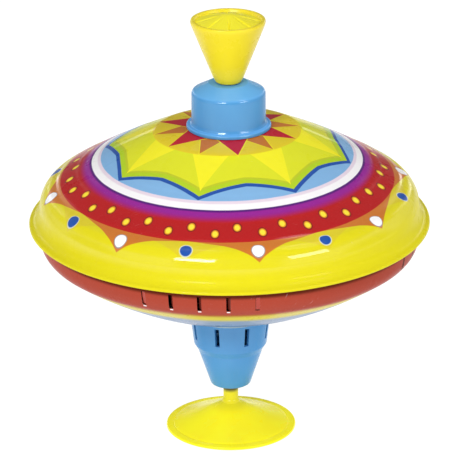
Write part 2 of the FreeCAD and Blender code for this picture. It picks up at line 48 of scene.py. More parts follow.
PRINT_SPAN = 200.0  # millimetres of print plane that the Print map's unit square covers
CUT_ROW = -1  # the row number of the faces at a window's cut edges

# ---------------------------------------------------------------- outlines


def line(start, end, steps=1):
    """Points from start to end, start left out."""
    return [
        (start[0] + (end[0] - start[0]) * k / steps, start[1] + (end[1] - start[1]) * k / steps)
        for k in range(1, steps + 1)
    ]


def arc(start, end, radius, side, steps=10):
    """Points of the short arc from start to end, start left out; side 1 bulges to the left of the run."""
    chord = Vector(end) - Vector(start)
    normal = Vector((-chord.y, chord.x)).normalized() * side
    centre = (Vector(start) + Vector(end)) / 2 - normal * math.sqrt(radius ** 2 - (chord.length / 2) ** 2)
    first = Vector(start) - centre
    sweep = -side * 2 * math.asin(chord.length / 2 / radius)
    points = []
    for k in range(1, steps + 1):
        turn = sweep * k / steps
        x = first.x * math.cos(turn) - first.y * math.sin(turn)
        y = first.x * math.sin(turn) + first.y * math.cos(turn)
        points.append((centre.x + x, centre.y + y))
    return points


def rounded(corners, steps=5):
    """An outline through (r, z) corners; a third number rounds that corner with a tangent arc."""
    outline = []
    count = len(corners)
    for index, corner in enumerate(corners):
        here = Vector(corner[:2])
        if len(corner) == 2:
            outline.append(tuple(here))
            continue
        before = (Vector(corners[index - 1][:2]) - here).normalized()
        after = (Vector(corners[(index + 1) % count][:2]) - here).normalized()
        half = math.acos(max(-1, min(1, before.dot(after)))) / 2
        reach = corner[2] / math.tan(half)
        centre = here + (before + after).normalized() * (corner[2] / math.sin(half))
        start = here + before * reach - centre
        end = here + after * reach - centre
        turn = start.angle_signed(end)
        for k in range(steps + 1):
            swing = -turn * k / steps
            x = start.x * math.cos(swing) - start.y * math.sin(swing)
            y = start.x * math.sin(swing) + start.y * math.cos(swing)
            outline.append((centre.x + x, centre.y + y))
    return outline


def with_heights(outline, heights):
    """The outline with a point added wherever it crosses one of these heights."""
    result = [outline[0]]
    for before, after in zip(outline, outline[1:]):
        low, high = sorted((before[1], after[1]))
        crossed = [z for z in heights if low < z - TINY and high > z + TINY]
        for z in sorted(crossed, reverse=before[1] > after[1]):
            share = (z - before[1]) / (after[1] - before[1])
            result.append((before[0] + (after[0] - before[0]) * share, z))
        result.append(after)
    return result


def sheet_section(skin, thick):
    """A closed section: the outer skin, then the inner face, thick to the left of the run, backwards."""
    inner = []
    for index, point in enumerate(skin):
        before = Vector(skin[max(index - 1, 0)])
        after = Vector(skin[min(index + 1, len(skin) - 1)])
        run = (after - before).normalized()
        inner.append((point[0] - run.y * thick, point[1] + run.x * thick))
    return list(skin) + inner[::-1]


def at_height(outline, height):
    """The numbers of the outline's points at a height."""
    return [k for k, point in enumerate(outline) if abs(point[1] - height) < TINY]


def run_lengths(outline):
    """How far along the outline each of its points is."""
    runs = [0.0]
    for before, after in zip(outline, outline[1:]):
        runs.append(runs[-1] + math.dist(before, after))
    return runs


# ---------------------------------------------------------------- meshes


def even_angles(count, edges=(), keep_off=0.0):
    """Even angles in degrees, with edges put in and the even ones too near an edge left out."""
    edges = sorted(edge % 360 for edge in edges)
    angles = []
    for k in range(count):
        angle = 360.0 * k / count
        if edges:
            place = bisect.bisect(edges, angle)
            near = min(abs(angle - edges[place - 1]), abs(angle - edges[place % len(edges)]))
            if near < keep_off:
                continue
        angles.append(angle)
    return sorted(angles + list(edges))


def turned(name, section, angles, windows=(), rows=None):
    """A mesh turned about Z from a closed section in millimetres.

    windows are (low angle, high angle) spans cut through the wall between the outer rows
    rows[0]..rows[1] and the inner rows rows[2]..rows[3], which mirror each other in height."""
    mesh = bmesh.new()
    rings = []
    for r, z in section:
        if r < TINY:
            rings.append([mesh.verts.new((0, 0, z * MM))] * len(angles))
            continue
        rings.append([
            mesh.verts.new((r * MM * math.sin(math.radians(a)), -r * MM * math.cos(math.radians(a)), z * MM))
            for a in angles
        ])
    columns = len(angles)
    open_columns = set()
    for low, high in windows:
        for j, angle in enumerate(angles):
            if (angle - low) % 360 < (high - low) % 360 - TINY:
                open_columns.add(j)
    row_layer = mesh.faces.layers.int.new("row")

    def face(*corners):
        corners = [corner for k, corner in enumerate(corners) if corner is not corners[k - 1]]
        return mesh.faces.new(corners) if len(corners) > 2 else None

    for i in range(len(section)):
        there = (i + 1) % len(section)
        for j in range(columns):
            if rows and j in open_columns and (rows[0] <= i < rows[1] or rows[2] <= i < rows[3]):
                continue
            k = (j + 1) % columns
            made = face(rings[i][j], rings[i][k], rings[there][k], rings[there][j])
            if made:
                made[row_layer] = i
    if rows:
        for j in sorted(open_columns):
            k = (j + 1) % columns
            for outer, inner in ((rows[0], rows[3]), (rows[1], rows[2])):
                made = face(rings[outer][j], rings[outer][k], rings[inner][k], rings[inner][j])
                made[row_layer] = CUT_ROW
            for side in (j, k):
                neighbour = (j - 1) % columns if side == j else k
                if neighbour in open_columns:
                    continue
                for step in range(rows[1] - rows[0]):
                    outer, inner = rows[0] + step, rows[3] - step
                    made = face(
                        rings[outer][side], rings[outer + 1][side], rings[inner - 1][side], rings[inner][side])
                    made[row_layer] = CUT_ROW
    bmesh.ops.recalc_face_normals(mesh, faces=mesh.faces)
    return finish_mesh(name, mesh)


def finish_mesh(name, mesh, sharp=32):
    """An object from a bmesh, shaded smooth with sharp edges kept."""
    data = bpy.data.meshes.new(name)
    mesh.to_mesh(data)
    mesh.free()
    for polygon in data.polygons:
        polygon.use_smooth = True
    data.set_sharp_from_angle(angle=math.radians(sharp))
    piece = bpy.data.objects.new(name, data)
    bpy.context.scene.collection.objects.link(piece)
    return piece


def spoke(turn):
    """Unit vectors outward and sideways at an angle."""
    sine, cosine = math.sin(math.radians(turn)), math.cos(math.radians(turn))
    return Vector((sine, -cosine, 0)), Vector((cosine, sine, 0))


def plates(name, outline, thick, turns):
    """Flat upright plates of one outline (r, z), one at each angle."""
    mesh = bmesh.new()
    for turn in turns:
        outward, sideways = spoke(turn)
        beside = sideways * thick / 2
        sides = []
        for way in (-1, 1):
            sides.append([
                mesh.verts.new((outward * r + beside * way + Vector((0, 0, z))) * MM) for r, z in outline
            ])
        mesh.faces.new(sides[0][::-1])
        mesh.faces.new(sides[1])
        for k in range(len(outline)):
            n = (k + 1) % len(outline)
            mesh.faces.new((sides[0][k], sides[0][n], sides[1][n], sides[1][k]))
    bmesh.ops.recalc_face_normals(mesh, faces=mesh.faces)
    return finish_mesh(name, mesh)


def add_print_map(piece, rho_of):
    """A UV map that lays the printed sheet out flat: rho_of(r, z) is a point's radius on the sheet."""
    layer = piece.data.uv_layers.new(name="Print")
    for loop in piece.data.loops:
        x, y, z = piece.data.vertices[loop.vertex_index].co
        r = math.hypot(x, y) / MM
        scale = rho_of(r, z / MM) / max(r, TINY) / MM / PRINT_SPAN
        layer.data[loop.index].uv = (x * scale + 0.5, y * scale + 0.5)


def dress(piece, materials, choose):
    """Gives each face the material that its row of the section asks for."""
    for material in materials:
        piece.data.materials.append(material)
    rows = piece.data.attributes["row"].data
    for polygon in piece.data.polygons:
        polygon.material_index = choose(rows[polygon.index].value)
    piece.data.attributes.remove(piece.data.attributes["row"])


# ---------------------------------------------------------------- material helpers


def paint(red, green, blue):
    """A linear colour from 0-255 display values."""
    shares = [channel / 255 for channel in (red, green, blue)]
    linear = [c / 12.92 if c <= 0.04045 else ((c + 0.055) / 1.055) ** 2.4 for c in shares]
    return (*linear, 1.0)


class Num:
    """A number that varies over the surface; arithmetic on it adds math nodes."""

    def __init__(self, kit, socket):
        self.kit = kit
        self.socket = socket

    def __add__(self, other):
        return self.kit.math("ADD", self, other)

    def __sub__(self, other):
        return self.kit.math("SUBTRACT", self, other)

    def __rsub__(self, other):
        return self.kit.math("SUBTRACT", other, self)

    def __mul__(self, other):
        return self.kit.math("MULTIPLY", self, other)

    def __truediv__(self, other):
        return self.kit.math("DIVIDE", self, other)


class Kit:
    """A material under construction, with short calls for the nodes that it needs."""

    def __init__(self, name):
        self.material = bpy.data.materials.new(name)
        self.material.use_nodes = True
        self.tree = self.material.node_tree
        self.tree.nodes.clear()
        output = self.tree.nodes.new("ShaderNodeOutputMaterial")
        self.shader = self.tree.nodes.new("ShaderNodeBsdfPrincipled")
        self.tree.links.new(self.shader.outputs["BSDF"], output.inputs["Surface"])

    @classmethod
    def on_tree(cls, tree):
        """The same calls for a tree that already has its shader."""
        kit = cls.__new__(cls)
        kit.tree = tree
        return kit

    def feed(self, socket, given):
        """Sets a socket to a number or colour, or links it."""
        if isinstance(given, Num):
            given = given.socket
        if isinstance(given, bpy.types.NodeSocket):
            self.tree.links.new(given, socket)
        else:
            socket.default_value = given

    def math(self, kind, *terms):
        node = self.tree.nodes.new("ShaderNodeMath")
        node.operation = kind
        for socket, term in zip(node.inputs, terms):
            self.feed(socket, term)
        return Num(self, node.outputs[0])

    def step(self, value, start, end, low=0.0, high=1.0):
        """A smooth step from low to high as value goes from start to end."""
        node = self.tree.nodes.new("ShaderNodeMapRange")
        node.interpolation_type = "SMOOTHSTEP"
        settings = {"Value": value, "From Min": start, "From Max": end, "To Min": low, "To Max": high}
        for name, given in settings.items():
            self.feed(node.inputs[name], given)
        return Num(self, node.outputs["Result"])

    def mix(self, share, first, second):
        """The second colour over the first, by share."""
        node = self.tree.nodes.new("ShaderNodeMix")
        node.data_type = "RGBA"
        self.feed(node.inputs[0], share)
        self.feed(node.inputs[6], first)
        self.feed(node.inputs[7], second)
        return node.outputs[2]

    def place(self):
        """The point on the piece, in the row frame's metres."""
        return self.tree.nodes.new("ShaderNodeTexCoord").outputs["Object"]

    def stretched(self, scale, turn=(0.0, 0.0, 0.0)):
        """The point on the piece, scaled along each axis and then turned."""
        node = self.tree.nodes.new("ShaderNodeMapping")
        self.tree.links.new(self.place(), node.inputs["Vector"])
        node.inputs["Rotation"].default_value = turn
        node.inputs["Scale"].default_value = scale
        return node.outputs["Vector"]

    def third(self, vector):
        """The Z part of a vector."""
        split = self.tree.nodes.new("ShaderNodeSeparateXYZ")
        self.tree.links.new(vector, split.inputs["Vector"])
        return Num(self, split.outputs["Z"])

    def height(self):
        """Metres above the floor."""
        return self.third(self.place())

    def upward(self):
        """1 on a face that looks straight up, 0 on an upright one."""
        return self.third(self.tree.nodes.new("ShaderNodeNewGeometry").outputs["Normal"])

    def dulled(self, start, end, gloss, least):
        """Gloss that falls off to least as the face turns from the eye, from start to end of Layer Weight."""
        facing = self.tree.nodes.new("ShaderNodeLayerWeight").outputs["Facing"]
        return self.step(Num(self, facing), start, end, gloss, least)

    def noise(self, scale, detail=2.0, rough=0.5, point=None):
        node = self.tree.nodes.new("ShaderNodeTexNoise")
        self.tree.links.new(point or self.place(), node.inputs["Vector"])
        node.inputs["Scale"].default_value = scale
        node.inputs["Detail"].default_value = detail
        node.inputs["Roughness"].default_value = rough
        return Num(self, node.outputs["Fac"])

    def scratches(self, turn, density):
        """Thin short scuffs: 1 on a scuff and 0 elsewhere."""
        fine = self.noise(190, 3.0, 0.6, self.stretched((1.0, 16.0, 1.0), turn))
        patch = self.step(self.noise(55), 0.5, 0.62)
        return self.step(fine, 0.70 - density, 0.74 - density) * patch

    def bump(self, height, distance, strength=1.0, under=None):
        node = self.tree.nodes.new("ShaderNodeBump")
        node.inputs["Distance"].default_value = distance
        node.inputs["Strength"].default_value = strength
        self.feed(node.inputs["Height"], height)
        if under:
            self.tree.links.new(under, node.inputs["Normal"])
        return node.outputs["Normal"]

    def set(self, **values):
        """Sets the shader's sockets, named with underscores for spaces."""
        for name, given in values.items():
            self.feed(self.shader.inputs[name.replace("_", " ")], given)
        return self.material


# A lighter blue painted on faces that look up, as light from above.
TOP_LIGHT_BLUE = paint(119, 192, 255)
# A dark brown painted as shade.
SHADE_BROWN = paint(72, 62, 48)


def moulded(name, colour, shade, rough=0.16, gloss=0.5, painted_glow=0.0, top_light=0.0, shade_bands=(), polish=0.0):
    """Moulded plastic: faint flow marks, an uneven sheen, hair-fine scuffs and a soft orange peel.

    painted_glow makes the plastic glow a little, as painted light; top_light mixes a lighter blue into the faces
    that look up, as painted light from above; shade_bands are (from, to, share) heights in metres over which
    the plastic is painted darker, as painted shade; polish is the weight of a clear skin, which is duller where
    the face turns from the eye."""
    kit = Kit(name)
    flow = kit.noise(38, 3.0, 0.55, kit.stretched((1.0, 1.0, 0.35)))
    mottled = kit.mix(kit.step(flow, 0.38, 0.68), colour, shade)
    scuffs = kit.scratches((0.4, 0.3, 0.9), 0.03)
    pale = tuple(min(1.0, c * 1.15 + 0.03) for c in colour[:3]) + (1.0,)
    worn = kit.mix(scuffs * 0.06, mottled, pale)
    if top_light:
        # Painted light from above: faces that look up get a lighter blue, in patches.
        top_light_patches = kit.step(kit.noise(120, 3.0, 0.6), 0.2, 0.8, 0.85, 1.0)
        worn = kit.mix(kit.step(kit.upward(), 0.35, 0.85) * top_light_patches * top_light, worn, TOP_LIGHT_BLUE)
    # Painted shade: the plastic is darkened over bands of height.
    for start, end, share in shade_bands:
        worn = kit.mix(kit.step(kit.height(), start, end) * share, worn, SHADE_BROWN)
    sheen = kit.noise(70, 4.0, 0.6)
    normal = kit.bump(kit.noise(1300, 2.0, 0.5), 0.00001, 0.3)
    normal = kit.bump(kit.noise(90, 1.0, 0.4), 0.0001, 0.2, normal)
    if polish:
        coat = kit.dulled(0.12, 0.45, polish, polish * 0.1)
        kit.set(Coat_Weight=coat, Coat_Roughness=0.1, Coat_IOR=1.5)
    return kit.set(
        Base_Color=worn, Normal=normal, IOR=1.48, Specular_IOR_Level=gloss,
        Roughness=kit.step(sheen, 0.3, 0.75, rough - 0.04, rough + 0.06) + scuffs * 0.12,
        Emission_Color=worn, Emission_Strength=painted_glow)


def metal(name, colour, rough, brush, spots=0.0):
    """Bright metal with drawing lines along brush, uneven polish and small tarnish spots."""
    kit = Kit(name)
    lines = kit.noise(240, 4.0, 0.6, kit.stretched(brush))
    cloud = kit.noise(60, 3.0, 0.6)
    tarnish = kit.step(kit.noise(420, 3.0, 0.65), 0.62 - spots, 0.75)
    dull = tuple(c * 0.55 for c in colour[:3]) + (1.0,)
    base = kit.mix(tarnish * 0.6, kit.mix(kit.step(cloud, 0.35, 0.7) * 0.25, colour, dull), dull)
    normal = kit.bump(lines, 0.00002, 0.4)
    return kit.set(
        Base_Color=base, Metallic=1.0, Normal=normal,
        Roughness=kit.step(lines, 0.3, 0.7, rough - 0.06, rough + 0.08) + tarnish * 0.15)


# ---------------------------------------------------------------- the print

YELLOW = paint(226, 215, 28)
DEEP_YELLOW = paint(222, 204, 42)
DISC_YELLOW = paint(236, 210, 40)
ORANGE = paint(205, 120, 45)
RED = paint(186, 24, 26)
CRIMSON = paint(196, 26, 48)
DARK_RED = paint(120, 18, 22)
PURPLE = paint(152, 32, 150)
VIOLET = paint(88, 26, 122)
LAVENDER = paint(238, 222, 236)
PAPER = paint(255, 253, 255)
SKY = paint(133, 184, 230)
NAVY = paint(34, 84, 170)
LEAF = paint(184, 214, 34)
OLIVE = paint(196, 206, 40)
LIME = paint(228, 231, 38)
LEMON = paint(251, 243, 38)
AMBER = paint(240, 156, 36)
WARM_YELLOW = paint(255, 234, 62)
GREY = paint(150, 146, 150)
PALE = paint(214, 222, 200)
TIN = paint(205, 203, 198)
BASE_RED = paint(172, 68, 50)
BASE_YELLOW = paint(220, 204, 82)
BASE_BLUE = paint(144, 162, 192)
SLATE = paint(112, 136, 170)
# A dark brown painted under the rim as shade.
RIM_SHADE = paint(96, 34, 12)

SOFT = 0.14  # half the width of a printed edge, in millimetres


class Sheet:
    """The printed sheet laid flat: where a point is on it, and inks laid over each other.

    drawn is how far the drawing of the dome pulled the print to the front: from a radius, by so much a
    millimetre, up to an edge and then easing to a rest. side, used along with drawn, puts the print off
    centre, in millimetres towards +X."""

    def __init__(self, kit, ground, side=0.0, drawn=None):
        self.kit = kit
        node = kit.tree.nodes.new("ShaderNodeUVMap")
        node.uv_map = "Print"
        split = kit.tree.nodes.new("ShaderNodeSeparateXYZ")
        kit.tree.links.new(node.outputs["UV"], split.inputs["Vector"])
        wobble = (kit.noise(160, 2.0) - 0.5) * 0.22
        self.x = (Num(kit, split.outputs["X"]) - 0.5) * PRINT_SPAN
        self.y = (Num(kit, split.outputs["Y"]) - 0.5) * PRINT_SPAN
        if drawn:
            start, growth, edge, ease, rest = drawn
            flat = kit.math("SQRT", self.x * self.x + self.y * self.y)
            rise = kit.math("MAXIMUM", (flat - start) * growth, 0.0)
            pull = kit.math("MINIMUM", rise, kit.math("MAXIMUM", (edge - flat) * ease, rest))
            self.x = self.x - side
            self.y = self.y + pull
        self.rho = kit.math("SQRT", self.x * self.x + self.y * self.y) + wobble
        self.angle = kit.math("ARCTAN2", self.x, self.y * -1.0) * (180 / math.pi)
        self.colour = ground

    def lay(self, ink, mask):
        self.colour = self.kit.mix(mask, self.colour, ink)

    def folded(self, centre, period, shift=0.0):
        """(along, across) in millimetres from the nearest of the rays at centre + k * period degrees."""
        swing = self.kit.math("WRAP", self.angle + shift - centre, period / 2, -period / 2)
        turn = self.kit.math("ABSOLUTE", swing) * (math.pi / 180)
        return self.rho * self.kit.math("COSINE", turn), self.rho * self.kit.math("SINE", turn)

    def beyond(self, fold, first, second):
        """Distance outside the straight edge between two (radius, degrees) points of the fold."""
        ends = [
            Vector((r * math.cos(math.radians(a)), r * math.sin(math.radians(a)))) for r, a in (first, second)
        ]
        normal = Vector((ends[1].y - ends[0].y, ends[0].x - ends[1].x)).normalized()
        return fold[0] * normal.x + fold[1] * normal.y - normal.dot(ends[0])

    def inside(self, distance, inset=0.0, soft=SOFT):
        """1 where the distance is below -inset."""
        return self.kit.step(distance, soft - inset, -soft - inset)

    def within(self, low, high, soft=SOFT):
        """1 between two radii; soft is half the width of the outer edge."""
        outside = self.kit.step(self.rho, low - SOFT, low + SOFT)
        return outside * self.kit.step(self.rho, high + soft, high - soft)

    def disc(self, radius, soft=SOFT):
        """1 within a radius, from the middle on."""
        return self.within(-1, radius, soft)

    def from_dot(self, fold, radius, along, across):
        """Distance outside an ellipse on the fold's ray."""
        u = (fold[0] - radius) / along
        v = fold[1] / across
        return (self.kit.math("SQRT", u * u + v * v) - 1.0) * along


POINTS_SPAN = 45  # degrees from one of the star's eight points to the next
STAR_TURN = -13.1  # where one of the star's points is
KINK_TURN = 9.4  # where one of the octagon's orange corners is
DOT_SPAN = 18  # degrees from one small dot of a row to the next
DART_SPAN = 60  # degrees from one dart of a colour to the next
PRINT_SIDE = -0.85
DOME_DRAWN = (51.3, 0.115, 86.5, 0.6, 1.8)


def dome_print(kit):
    """The dome's print: octagons and dots at the shoulder, rings, an eight-pointed star, a ring of darts."""
    sheet = Sheet(kit, YELLOW, PRINT_SIDE, DOME_DRAWN)
    star_fold = sheet.folded(STAR_TURN, POINTS_SPAN)
    kink_fold = sheet.folded(KINK_TURN, POINTS_SPAN)
    for fold, ink in ((star_fold, DEEP_YELLOW), (kink_fold, ORANGE)):
        sheet.lay(ink, sheet.inside(sheet.beyond(fold, (87.4, 0), (78.8, POINTS_SPAN / 2))))
    swell = kit.step(kit.math("ABSOLUTE", sheet.angle), 25, 75, 1.0, 1.25)
    for fold, at, along, across, edge, ink in (
            (kink_fold, 83.9, 2.2, 2.85, GREY, PAPER), (star_fold, 83.9, 1.95, 2.75, PALE, NAVY)):
        spot = sheet.from_dot(fold, at, swell * along, swell * across)
        sheet.lay(edge, sheet.inside(spot, -0.3))
        sheet.lay(ink, sheet.inside(spot))
    sheet.lay(RED, sheet.disc(78.8))
    crowded = kit.math("SINE", sheet.angle * (math.pi / 90)) * 2.3
    behind = 1.0 - kit.step(sheet.angle, -82, -81) * kit.step(sheet.angle, 61, 60)
    for turn, at, swap in ((STAR_TURN - 1.2, 71.8, 2.6), (STAR_TURN + 8.3, 74.6, -2.6)):
        spot = sheet.from_dot(sheet.folded(turn, DOT_SPAN, crowded), behind * swap + at, 1.75, 1.85)
        for ink, inset in ((DARK_RED, -0.5), (AMBER, 0.0), (WARM_YELLOW, 0.5)):
            sheet.lay(ink, sheet.inside(spot, inset, 0.18))
    sheet.lay(PURPLE, sheet.disc(68.0, 1.9))
    sheet.lay(VIOLET, sheet.disc(64.9, 0.3))
    sheet.lay(PAPER, sheet.disc(63.9))
    sheet.lay(LAVENDER, sheet.disc(61.0, 0.3))
    sheet.lay(SKY, sheet.disc(59.6))
    star = sheet.beyond(star_fold, (59.5, 0), (52.9, POINTS_SPAN / 2))
    for ink, inset, soft in ((NAVY, 0.0, SOFT), (LEAF, 1.7, SOFT), (OLIVE, 3.9, 0.5), (LIME, 5.0, 0.3)):
        sheet.lay(ink, sheet.inside(star, inset, soft))
    sheet.lay(LEMON, sheet.inside(sheet.beyond(star_fold, (55.2, 0), (35, 14))))
    sheet.lay(DISC_YELLOW, sheet.disc(34.9))
    red_dart = sheet.beyond(sheet.folded(8.3, DART_SPAN), (34.9, 0), (21.5, 16))
    orange_dart = sheet.beyond(sheet.folded(38.3, DART_SPAN), (34.6, 0), (21.5, 13))
    for dart, ink in ((orange_dart, ORANGE), (red_dart, CRIMSON)):
        sheet.lay(LEMON, sheet.inside(dart, -0.35))
        sheet.lay(ink, sheet.inside(dart))
    return sheet


ROW_TURN, ROW_SPAN = -9, 90  # the middle of a row of five vents, and degrees from row to row
VENT_PITCH = 8.5  # degrees from vent to vent
VENT_FOOT = 90.1  # where the vents' lower ends lie on the flat sheet
GLINT_ROW_HALF = 23.3  # half the length over which four vents' feet have painted glints
GLINT_HALF = 0.75  # half a painted glint's width


def base_print(kit):
    """The lower shell's print: plain rings, red at the vents, then yellow, pale blue and slate.

    White is painted into the print just below four vents of each row as glints, and a dark brown band is
    painted under the rim as shade."""
    sheet = Sheet(kit, BASE_RED)
    # Painted shade: a dark brown band under the rim.
    sheet.lay(RIM_SHADE, kit.step(sheet.rho, 96.3, 98.3) * 0.9)
    # Painted glints: white laid into the print just below four vents of each row.
    row = sheet.inside(sheet.folded(ROW_TURN - VENT_PITCH / 2, ROW_SPAN)[1], -GLINT_ROW_HALF)
    under = sheet.inside(sheet.folded(ROW_TURN, VENT_PITCH)[1], -GLINT_HALF)
    below = under * sheet.within(VENT_FOOT - GLINT_HALF, VENT_FOOT)
    sheet.lay(PAPER, row * below)
    sheet.lay(BASE_YELLOW, sheet.disc(84.3, 2.9))
    sheet.lay(BASE_BLUE, sheet.disc(75.6, 3.2))
    sheet.lay(SLATE, sheet.disc(60.0, 1.0))
    return sheet


def varnished(name, printed, worn_from, worn_to, gloss, sheen_level, dull_from, dull_to):
    """Printed tinplate under varnish; bare tin shows in small chips outside the radius worn_from on the
    sheet, and in more of them outside worn_to.

    The varnish has dulled from handling between dull_from and dull_to, and stays dull further out; it is
    worn along the shoulder's crest too."""
    kit = Kit(name)
    sheet = printed(kit)
    grain = kit.noise(260, 5.0, 0.6)
    speckle = kit.step(kit.noise(2600, 2.0, 0.6), 0.60, 0.75)
    inked = kit.mix(speckle * 0.04, sheet.colour, PAPER)
    inked = kit.mix(kit.step(grain, 0.35, 0.75) * 0.025, inked, DARK_RED)
    edge = kit.step(sheet.rho, worn_from, worn_to)
    chips = kit.step(kit.noise(620, 4.0, 0.65) + edge * 0.16, 0.76, 0.80) * edge
    scuffs = kit.scratches((0.2, 0.1, 0.5), 0.03)
    base = kit.mix(chips, kit.mix(scuffs * 0.10, inked, PAPER), TIN)
    wave = kit.noise(26, 2.0, 0.45)
    peel = kit.noise(900, 2.0, 0.5)
    normal = kit.bump(wave, 0.0004, 0.25)
    normal = kit.bump(peel, 0.00002, 0.25, normal)
    normal = kit.bump(1.0 - chips, 0.00005, 0.6, normal)
    sheen = kit.noise(80, 3.0, 0.6)
    crest = kit.step(sheet.rho, 83.2, 84.2) * kit.step(sheet.rho, 86.8, 86.0)
    coat = kit.step(sheet.rho, dull_from, dull_to, 1.0, 0.1) * kit.dulled(0.3, 0.62, gloss, gloss * 0.35)
    coat = coat * (1.0 - crest * 0.8)
    return kit.set(
        Base_Color=base, Metallic=chips * 0.9, Normal=normal, IOR=1.5, Specular_IOR_Level=sheen_level,
        Roughness=kit.step(sheen, 0.3, 0.75, 0.25, 0.38) + scuffs * 0.2,
        Coat_Weight=coat, Coat_Roughness=0.03, Coat_IOR=1.5)


# The foot plastic glows a little: painted light.
foot_plastic = moulded(
    "foot_plastic", paint(250, 238, 28), paint(246, 230, 26), rough=0.26, gloss=0.25, painted_glow=0.19,
    # Two bands darken the stem, lower down and at its top under the cone: painted shade.
    shade_bands=((0.0085, 0.0125, 0.28), (0.0176, 0.0198, 0.9)))
knob_plastic = moulded("knob_plastic", paint(243, 224, 44), paint(238, 216, 40), rough=0.28, gloss=0.35)
# A lighter copy of the knob's yellow for the crown: painted light from above.
crown_top_lit_plastic = moulded("crown_top_lit_plastic", paint(252, 242, 48), paint(249, 236, 44), rough=0.3, gloss=0.25)
# The blue plastic's upward faces are painted lighter, as light from above.
blue_plastic = moulded(
    "blue_plastic", paint(82, 156, 214), paint(74, 148, 208), rough=0.22, gloss=0.15, top_light=0.62, polish=0.9)
# A pale blue painted on the cone's flange edge as a highlight.
flange_highlight_plastic = moulded("flange_highlight_plastic", paint(186, 208, 206), paint(170, 196, 204), rough=0.3)
upper_litho = varnished(
    "upper_litho", dome_print, worn_from=98.0, worn_to=101.0, gloss=0.95, sheen_level=0.03,
    dull_from=88.8, dull_to=90.6)
lower_litho = varnished(
    "lower_litho", base_print, worn_from=101.0, worn_to=106.0, gloss=0.3, sheen_level=0.02,
    dull_from=90.0, dull_to=100.0)
bare_tin = metal("bare_tin", TIN, 0.3, (1.0, 1.0, 9.0), 0.04)
cut_tin = metal("cut_tin", paint(222, 220, 214), 0.22, (4.0, 4.0, 1.0))
steel = metal("steel", paint(196, 197, 200), 0.26, (1.0, 1.0, 12.0), 0.02)
rod_steel = metal("rod_steel", paint(204, 204, 206), 0.2, (6.0, 6.0, 1.0), 0.03)
brass = metal("brass", paint(214, 178, 96), 0.24, (8.0, 1.0, 1.0), 0.05)
nylon = moulded("nylon", paint(226, 222, 208), paint(214, 209, 192), rough=0.45)

# ---------------------------------------------------------------- the printed shells

TIN_THICK = 0.45
CROWN, SHOULDER_IN = (34.6, 151.2), (83.8, 125.05)  # the dome's line runs between these
DOME_RADIUS, SHOULDER_RADIUS, FLARE_RADIUS, CURL_RADIUS = 620, 12.6, 6.2, 0.92
BELLY_RADIUS, CORNER_RADIUS, NECK_RADIUS = 215, 9.5, 2.1  # of the lower shell
PRESSED_STEPS = ((57.6, 2.2, 0.15), (67.0, 2.6, 0.24), (71.8, 2.0, 0.18), (81.2, 2.8, 0.42))


def pressed(point):
    """A point of the dome's line moved on to its pressed rings: (radius, width, drop) of each small step."""
    r, z = point
    share = (r - CROWN[0]) / (SHOULDER_IN[0] - CROWN[0])
    for middle, width, drop in PRESSED_STEPS:
        part = min(1.0, max(0.0, (r - middle) / width + 0.5))
        z += drop * (share - part * part * (3 - 2 * part))
    return r, z


def build_upper_shell():
    neck, shoulder = (14, 153.9), (89.86, 116.1)
    wall, flare, lip = (90.2, 112.6), (94.4, 107.35), (94.4, 105.6)
    skin = [(9.1, 153.9)] + line((9.1, 153.9), neck, 3) + line(neck, CROWN, 6)
    skin += [pressed(point) for point in arc(CROWN, SHOULDER_IN, DOME_RADIUS, 1, 110)]
    skin += arc(SHOULDER_IN, shoulder, SHOULDER_RADIUS, 1, 24) + line(shoulder, wall, 3)
    skin += arc(wall, flare, FLARE_RADIUS, -1, 10) + arc(flare, lip, CURL_RADIUS, 1, 12)
    skin += line(lip, (93.1, 105.6), 2)
    piece = turned("upper_shell_skin", sheet_section(skin, -TIN_THICK), even_angles(360))
    runs = run_lengths(skin)
    bend = next(k for k, point in enumerate(skin) if point[0] > 87.6)

    def rho(r, z):
        """The plan radius down to the shoulder, then less than the run along the skin."""
        if r < skin[bend][0] and z > 115:
            return r
        nearest = min(range(bend, len(skin)), key=lambda k: math.dist((r, z), skin[k]))
        return skin[bend][0] + 0.5 * (runs[nearest] - runs[bend])

    add_print_map(piece, rho)
    dress(piece, [upper_litho, bare_tin], lambda row: 0 if row < len(skin) - 1 else 1)
    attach(piece, "casing")
    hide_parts("upper_shell")


VENT_TURNS = [
    ROW_TURN + ROW_SPAN * group + VENT_PITCH * (place - 2) for group in range(4) for place in range(5)
]
VENT_HALF = 0.638  # half a vent's width, in degrees
VENT_LOW, VENT_HIGH = 95.7, 103.0


